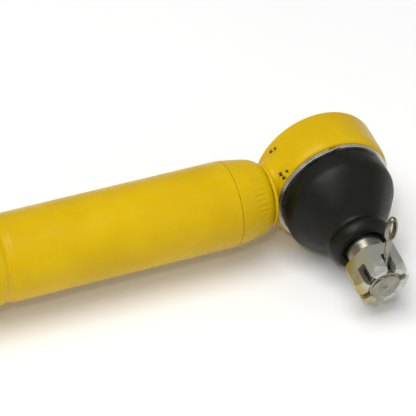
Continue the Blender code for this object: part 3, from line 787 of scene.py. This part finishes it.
def weld_bead(end):
    """A bead of overlapping ripples, a little uneven all round."""
    ripples = 46
    seed = {"a": 3.0, "b": 11.0}[end]
    count = 12
    rows = 368
    centres = []
    sections = []
    for row in range(rows):
        angle = TURN * row / rows
        outward = Vector((math.cos(angle), math.sin(angle), 0))
        wave = (angle / TURN * ripples) % 1.0
        lump = noise.noise(outward * 3.0 + Vector((seed, 0, 0)))
        size = 0.66 + 0.10 * (1 - wave) ** 1.5 + 0.12 * lump
        shift = 0.15 * noise.noise(outward * 2.2 + Vector((0, seed, 0)))
        centres.append((outward * BEAD_RADIUS + Vector((0, 0, BEAD_STATION + shift))) * MM)
        section = []
        for k in range(count):
            turn = TURN * k / count
            reach = size * 1.35
            section.append((outward * math.cos(turn) * size + Vector((0, 0, math.sin(turn) * reach))) * MM)
        sections.append(section)
    mesh = swept_mesh(f"{end}_weld_bead_detail", centres, sections, closed=True)
    matrix = axes_at(BALL[end], -OUTWARD[end], (0, 0, 1))
    bead = place(f"{end}_weld_bead_detail", mesh, matrix, 70)
    return finish_piece(bead, HOUSING_BODY[end], "weld_paint", f"{end}_weld_bead")


def cover_plate(end):
    line = rounded([
        (0.0, -15.4, 0.0),
        (5.2, -15.4, 1.2),
        (7.2, -14.7, 1.2),
        (12.0, -14.7, 1.2),
        (14.2, -15.35, 1.2),
        (COVER_RADIUS - 0.1, -15.35, 0.5),
        (COVER_RADIUS, -13.4, 0.3),
        (0.0, -13.4, 0.0),
    ])
    mesh = turned_mesh(f"{end}_cover_plate_detail", line)
    plate = place(f"{end}_cover_plate_detail", mesh, HOUSING_FRAME[end])
    return finish_piece(plate, HOUSING_BODY[end], "plated_steel", f"{end}_cover_plate")


def retaining_ring(end):
    """A flat wire ring wound twice round, which steps up where the second turn begins."""
    thickness = 0.70
    rise = RING_END - RING_START - thickness
    step_turn = math.radians(14)
    rows = 320
    start = math.radians(100)
    middle = (RING_OUTER + RING_INNER) / 2
    wide = (RING_OUTER - RING_INNER) / 2
    half = thickness / 2
    bevel = 0.2
    outline = [(-wide, -half + bevel), (-wide + bevel, -half), (wide - bevel, -half), (wide, -half + bevel),
               (wide, half - bevel), (wide - bevel, half), (-wide + bevel, half), (-wide, half - bevel)]
    centres = []
    sections = []
    for row in range(rows + 1):
        travel = 2 * TURN * row / rows * 0.985
        angle = start + travel
        t = min(max((travel - (TURN - step_turn)) / step_turn, 0.0), 1.0)
        height = RING_START + thickness / 2 + rise * t * t * (3 - 2 * t)
        outward = Vector((math.cos(angle), math.sin(angle), 0))
        centres.append((outward * middle + Vector((0, 0, height))) * MM)
        sections.append([(outward * x + Vector((0, 0, z))) * MM for x, z in outline])
    mesh = swept_mesh(f"{end}_retaining_ring_detail", centres, sections)
    ring = place(f"{end}_retaining_ring_detail", mesh, HOUSING_FRAME[end])
    return finish_piece(ring, HOUSING_BODY[end], "plated_steel", f"{end}_retaining_ring")


def boot_line():
    """The boot's section, once round: up the outside from the flange to the lip, and back down the inside."""
    flange = [(21.7, 7.8), (21.7, 9.3), (23.3, 9.55), (24.2, 10.4), (24.35, 12.6), (24.4, 15.2), (24.2, 17.4)]
    cone = [(22.9, 20.0), (19.2, 25.2), (16.2, 28.8), (13.8, 31.6), (13.1, 32.8), (13.1, 33.9)]
    lip = [(13.7, 35.0), (13.8, 36.6), (13.1, 38.6), (11.8, 39.9), (10.2, 40.1), (8.9, 39.2), (8.4, 37.9)]
    outside = flange + cone + lip
    inside = [(8.6, 37.6), (9.7, 37.5), (9.7, 34.7), (11.4, 30.4), (20.6, 16.6), (21.0, 14.0), (19.4, 10.8),
              (19.0, 7.8)]
    return [outside[0]] + divided(smooth_line(outside[1:], 6), 0.9) + divided(inside, 3.0)


def boot(end):
    """The moulded rubber boot, its small end leaned over to the stud's axis as it stands."""
    mesh = turned_mesh(f"{end}_boot_detail", boot_line(), AROUND, closed=True)
    to_housing = HOUSING_FRAME[end]
    lean = HOUSING_AXIS.rotation_difference(STUD_AXIS[end])
    about = lean.to_axis_angle()[0] if lean.angle > 1e-6 else Vector((1, 0, 0))
    for vertex in mesh.vertices:
        station = vertex.co.z / MM
        share = float(step_between(station, BOOT_STILL_UP_TO, BOOT_FOLLOWS_FROM))
        turn = Matrix.Rotation(lean.angle * share, 3, about)
        world = to_housing @ vertex.co
        vertex.co = BALL[end] + turn @ (world - BALL[end])
    cover = place(f"{end}_boot_detail", mesh, Matrix.Identity(4), 60)
    cover.data.materials.append(LOOK["black_rubber"])
    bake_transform(cover)
    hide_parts(f"{end}_boot")
    return cover


def boot_sleeve(end):
    """The steel ring moulded into the boot's lip, which runs on the stud's shank."""
    corners = [
        (SHANK_RADIUS + 0.3, 34.8, 0.0),
        (9.5, 34.8, 0.3),
        (9.5, 37.3, 0.3),
        (SHANK_RADIUS + 0.3, 37.3, 0.3),
        (SHANK_RADIUS + 0.3, 34.8, 0.0),
    ]
    mesh = turned_mesh(f"{end}_boot_sleeve_detail", rounded(corners)[:-1], 96, closed=True)
    sleeve = place(f"{end}_boot_sleeve_detail", mesh, STUD_FRAME[end])
    return finish_piece(sleeve, f"{end}_boot_end", "spring_steel", f"{end}_boot_sleeve")


# ---------------------------------------------------------------------------------------------------------
# Stud, nut and split pin
# ---------------------------------------------------------------------------------------------------------
def thread(radius, station, angle):
    """Cuts a right-hand thread between the taper and the stud's end, fading out at both."""
    phase = (station / THREAD_PITCH - angle / TURN) % 1.0
    flank = np.clip(np.abs(phase - 0.5) * 2.6 - 0.18, 0.0, 1.0)
    fade = step_between(station, THREAD_START - 0.2, THREAD_START + 1.4)
    fade = fade * (1 - step_between(station, STUD_END - 0.55, STUD_END - 0.1))
    fade = fade * (radius > THREAD_RADIUS - 1.5)
    return radius - THREAD_DEPTH * (1 - flank) * fade, station


def stud_line():
    line = [(0.0, -9.6)] + sphere_line(BALL_RADIUS, 23.9, 143.8, 28)
    shank = rounded([
        (6.2, 11.4, 0.0),
        (7.0, 14.0, 1.0),
        (SHANK_RADIUS, 17.0, 1.0),
        (SHANK_RADIUS, SHANK_END, 0.5),
        (THREAD_RADIUS + 0.45, THREAD_START - 1.0, 0.6),
        (THREAD_RADIUS, THREAD_START, 0.4),
    ], 4)
    line += divided(shank, 4.0)
    line += divided([(THREAD_RADIUS, THREAD_START), (THREAD_RADIUS, STUD_END - 0.9)], 0.125)[1:]
    line += divided([(THREAD_RADIUS, STUD_END - 0.9), (THREAD_RADIUS - 0.85, STUD_END - 0.05)], 0.2)[1:]
    end_face = rounded([
        (THREAD_RADIUS - 0.85, STUD_END - 0.05, 0.0),
        (THREAD_RADIUS - 1.1, STUD_END, 0.1),
        (1.25, STUD_END, 0.3),
        (0.9, STUD_END - 0.45, 0.1),
        (0.0, STUD_END - 0.9, 0.0),
    ])
    return line + divided(end_face, 0.8)[1:]


def ball_stud(end):
    mesh = turned_mesh(f"{end}_ball_stud_detail", stud_line(), AROUND_STUD, shape=thread)
    stud = place(f"{end}_ball_stud_detail", mesh, STUD_FRAME[end])
    hole = bpy.data.meshes.new("pin_hole")
    bm = bmesh.new()
    across = Matrix.Rotation(math.radians(90), 4, "Y")
    bmesh.ops.create_cone(bm, cap_ends=True, segments=32, radius1=PIN_HOLE_RADIUS * MM,
                          radius2=PIN_HOLE_RADIUS * MM, depth=24 * MM, matrix=across)
    bm.to_mesh(hole)
    bm.free()
    turn = Matrix.Rotation(math.radians(PIN_TURN[end]), 4, "Z")
    up = Matrix.Translation((0, 0, PIN_STATION * MM))
    boolean(stud, hole, STUD_FRAME[end] @ up @ turn, "DIFFERENCE")
    stud.data.shade_smooth()
    stud.data.set_sharp_from_angle(angle=math.radians(40))
    return finish_piece(stud, f"{end}_stud", "bare_steel", f"{end}_ball_stud")


def slot_mesh():
    """One slot right across the nut, with a rounded floor corner."""
    half = NUT_SLOT_WIDTH / 2
    top = NUT_TIP + 3.0
    bend = 0.9
    outline = [(-half, top), (-half, NUT_SLOT_FLOOR + bend)]
    for side in (-1, 1):
        for i in range(1, 5):
            angle = math.radians(90 * i / 5)
            sine, cosine = math.sin(angle), math.cos(angle)
            if side < 0:
                outline.append((-half + bend * (1 - cosine), NUT_SLOT_FLOOR + bend * (1 - sine)))
            else:
                outline.append((half - bend * (1 - sine), NUT_SLOT_FLOOR + bend * (1 - cosine)))
    outline += [(half, NUT_SLOT_FLOOR + bend), (half, top)]
    section = [Vector((0, y, z)) * MM for y, z in outline]
    centres = [Vector((x, 0, 0)) * MM for x in (-20, 20)]
    return swept_mesh("slot", centres, [section, section])


def castle_nut(end):
    corner = NUT_ACROSS_FLATS / math.sqrt(3)
    matrix = STUD_FRAME[end]
    first = PIN_TURN[end] + 30
    mesh = bpy.data.meshes.new(f"{end}_castle_nut_detail")
    bm = bmesh.new()
    corner_angles = [math.radians(first + 60 * i) for i in range(6)]
    rings = []
    for z in (NUT_BASE, NUT_TIP):
        points = [(corner * math.cos(a) * MM, corner * math.sin(a) * MM, z * MM) for a in corner_angles]
        rings.append([bm.verts.new(point) for point in points])
    for i in range(6):
        j = (i + 1) % 6
        bm.faces.new((rings[0][i], rings[0][j], rings[1][j], rings[1][i]))
    bm.faces.new(reversed(rings[0]))
    bm.faces.new(rings[1])
    bm.to_mesh(mesh)
    bm.free()
    nut = place(f"{end}_castle_nut_detail", mesh, matrix)
    crown = rounded([
        (0.0, NUT_BASE - 0.5, 0.0),
        (NUT_ACROSS_FLATS / 2 + 0.35, NUT_BASE - 0.5, 0.0),
        (corner + 0.35, NUT_BASE + 1.0, 0.3),
        (corner + 0.35, NUT_TIP - 3.2, 0.6),
        (NUT_TIP_RADIUS, NUT_TIP - 0.1, 0.5),
        (NUT_TIP_RADIUS - 0.6, NUT_TIP + 0.6, 0.0),
        (0.0, NUT_TIP + 0.6, 0.0),
    ])
    boolean(nut, turned_mesh("crown", crown, NUT_SEGMENTS), matrix, "INTERSECT")
    bore = [
        (0, NUT_BASE - 2),
        (NUT_BORE + 1.2, NUT_BASE - 2),
        (NUT_BORE + 1.0, NUT_BASE),
        (NUT_BORE, NUT_BASE + 1),
        (NUT_BORE, NUT_TIP - 0.6),
        (NUT_BORE + 0.9, NUT_TIP + 0.1),
        (NUT_BORE + 0.9, NUT_TIP + 2),
        (0, NUT_TIP + 2),
    ]
    boolean(nut, turned_mesh("bore", bore, NUT_SEGMENTS), matrix, "DIFFERENCE")
    for i in range(3):
        turn = Matrix.Rotation(math.radians(PIN_TURN[end] + 60 * i), 4, "Z")
        boolean(nut, slot_mesh(), matrix @ turn, "DIFFERENCE")
    bevel = nut.modifiers.new("edges", "BEVEL")
    bevel.width = NUT_EDGE * MM
    bevel.segments = 3
    bevel.limit_method = "ANGLE"
    bevel.angle_limit = math.radians(32)
    bevel.use_clamp_overlap = True
    apply_modifiers(nut)
    nut.data.shade_smooth()
    nut.data.set_sharp_from_angle(angle=math.radians(32))
    return finish_piece(nut, f"{end}_stud", "yellow_zinc", f"{end}_castle_nut")


def pin_route():
    """The flat side of the split pin as (along, across) points: one leg, round the eye, and the other leg."""
    half_gap = 0.06
    neck = PIN_LENGTH - PIN_EYE_LENGTH
    bulge = PIN_EYE_HALF_WIDTH - PIN_LEG_THICKNESS
    steps = 60
    line = [(0.0, -half_gap), (neck * 0.5, -half_gap), (neck - 1.0, -half_gap)]
    for i in range(steps + 1):
        angle = math.pi * i / steps
        side = -math.cos(angle)
        along = neck + (PIN_EYE_LENGTH - PIN_LEG_THICKNESS) * (1 - abs(side) ** 2.2)
        line.append((along, side * (half_gap + (bulge - half_gap) * min(1.35 * math.sin(angle) ** 0.8, 1.0))))
    return line + [(neck - 1.0, half_gap), (neck * 0.5, half_gap), (1.5, half_gap)]


def split_pin(end):
    """A split pin of half-round wire, only just started in the stud's hole and leaning back in its slot."""
    route = [Vector(point) for point in pin_route()]
    turn = Matrix.Rotation(math.radians(PIN_TURN[end]), 3, "Z")
    lean = Matrix.Rotation(math.radians(PIN_LEAN), 3, "Y")
    crossing = Vector((PIN_CROSSING_RADIUS, 0, PIN_STATION))
    centres = []
    sections = []
    for i, here in enumerate(route):
        ahead = route[min(i + 1, len(route) - 1)] - route[max(i - 1, 0)]
        ahead.normalize()
        point = Vector((here.x - PIN_DEPTH_TO_CROSSING, here.y, 0))
        centres.append(turn @ (crossing + lean @ point) * MM)
        section = []
        for k in range(15):
            angle = math.radians(-90 + 180 * k / 14)
            rise = PIN_LEG_THICKNESS * math.cos(angle) ** 0.9
            offset = Vector((ahead.y * rise, -ahead.x * rise, PIN_WIDTH / 2 * math.sin(angle)))
            section.append(turn @ (lean @ offset) * MM)
        sections.append(section)
    mesh = swept_mesh(f"{end}_split_pin_detail", centres, sections)
    pin = place(f"{end}_split_pin_detail", mesh, STUD_FRAME[end], 45)
    return finish_piece(pin, f"{end}_stud", "bare_steel", f"{end}_split_pin")


def dress_hidden_nodes():
    """The pieces inside keep their CAD shapes, and get the same materials as the rest."""
    for entry in frame["record"]["subparts"]:
        node = frame["nodes"][entry["node"]]
        node.data.materials.clear()
        node.data.materials.append(LOOK[entry["material_slot"]])


# ---------------------------------------------------------------------------------------------------------
# Floor, light and camera
# ---------------------------------------------------------------------------------------------------------
def floor():
    mesh = mesh_from("floor", [(-4, -4, 0), (4, -4, 0), (4, 4, 0), (-4, 4, 0)], [(0, 1, 2, 3)])
    plane = place("studio_floor", mesh, Matrix.Translation((0, 0, -0.0005)))
    n = Nodes("studio_floor")
    mesh.materials.append(n.set(Base_Color=n.mix(n.band(n.noise(400.0), 0.3, 0.7), rgb(0.95, 0.95, 0.95),
                                                 rgb(0.97, 0.97, 0.97)), Roughness=0.9))


def area_light(name, location, target, size, watts):
    data = bpy.data.lights.new(name, "AREA")
    data.shape = "RECTANGLE"
    data.size, data.size_y = size
    data.energy = watts
    light = bpy.data.objects.new(name, data)
    bpy.context.scene.collection.objects.link(light)
    light.location = location
    light.rotation_euler = (Vector(target) - Vector(location)).to_track_quat("-Z", "Y").to_euler()
    return light


# Each light's name, place from the centre of ball A in metres, side in metres, and power in watts
STUDIO_LIGHTS = (
    ("key", (-0.5, -0.2, 1.5), 1.2, 20),
    ("fill", (0.9, -1.2, 0.8), 1.5, 2.5),
    ("flash", (-0.55, -0.75, 1.0), 0.10, 2),
)
WORLD_STRENGTH = 0.36


def lights():
    centre = BALL["a"]
    for name, offset, side, watts in STUDIO_LIGHTS:
        area_light(name, centre + Vector(offset), centre, (side, side), watts)
    world = bpy.data.worlds.new("studio")
    world.use_nodes = True
    background = world.node_tree.nodes["Background"]
    background.inputs["Color"].default_value = rgb(1.0, 1.0, 1.0)
    background.inputs["Strength"].default_value = WORLD_STRENGTH
    bpy.context.scene.world = world
    bpy.context.scene.view_settings.view_transform = "Standard"


# The photo's camera: place in mm, angles in degrees, and focal length in mm on a 36 mm sensor
CAMERA_FROM_BALL_A = Vector((-448.3, -783.0, 792.8))
CAMERA_HEADING = 26.72
CAMERA_DIP = 42.12
CAMERA_ROLL = 4.93
CAMERA_LENS = 244.0


def camera():
    data = bpy.data.cameras.new("photo_camera")
    data.lens = CAMERA_LENS
    data.sensor_width = 36.0
    data.clip_end = 20.0
    obj = bpy.data.objects.new("photo_camera", data)
    bpy.context.scene.collection.objects.link(obj)
    heading = Matrix.Rotation(-math.radians(CAMERA_HEADING), 4, "Z")
    tilt = Matrix.Rotation(math.radians(90 - CAMERA_DIP), 4, "X")
    roll = Matrix.Rotation(math.radians(CAMERA_ROLL), 4, "Z")
    obj.matrix_world = Matrix.Translation(BALL["a"] + CAMERA_FROM_BALL_A * MM) @ heading @ tilt @ roll
    bpy.context.scene.camera = obj


# ---------------------------------------------------------------------------------------------------------
# Build everything
# ---------------------------------------------------------------------------------------------------------
camera()
floor()
lights()
dress_hidden_nodes()
body_tube()
base_cup()
dust_shroud()
shroud_cap()
HOUSING = housing_mesh()
for END in "ab":
    ball_housing(END, HOUSING)
    weld_bead(END)
    cover_plate(END)
    retaining_ring(END)
    boot(END)
    boot_sleeve(END)
    ball_stud(END)
    castle_nut(END)
    split_pin(END)
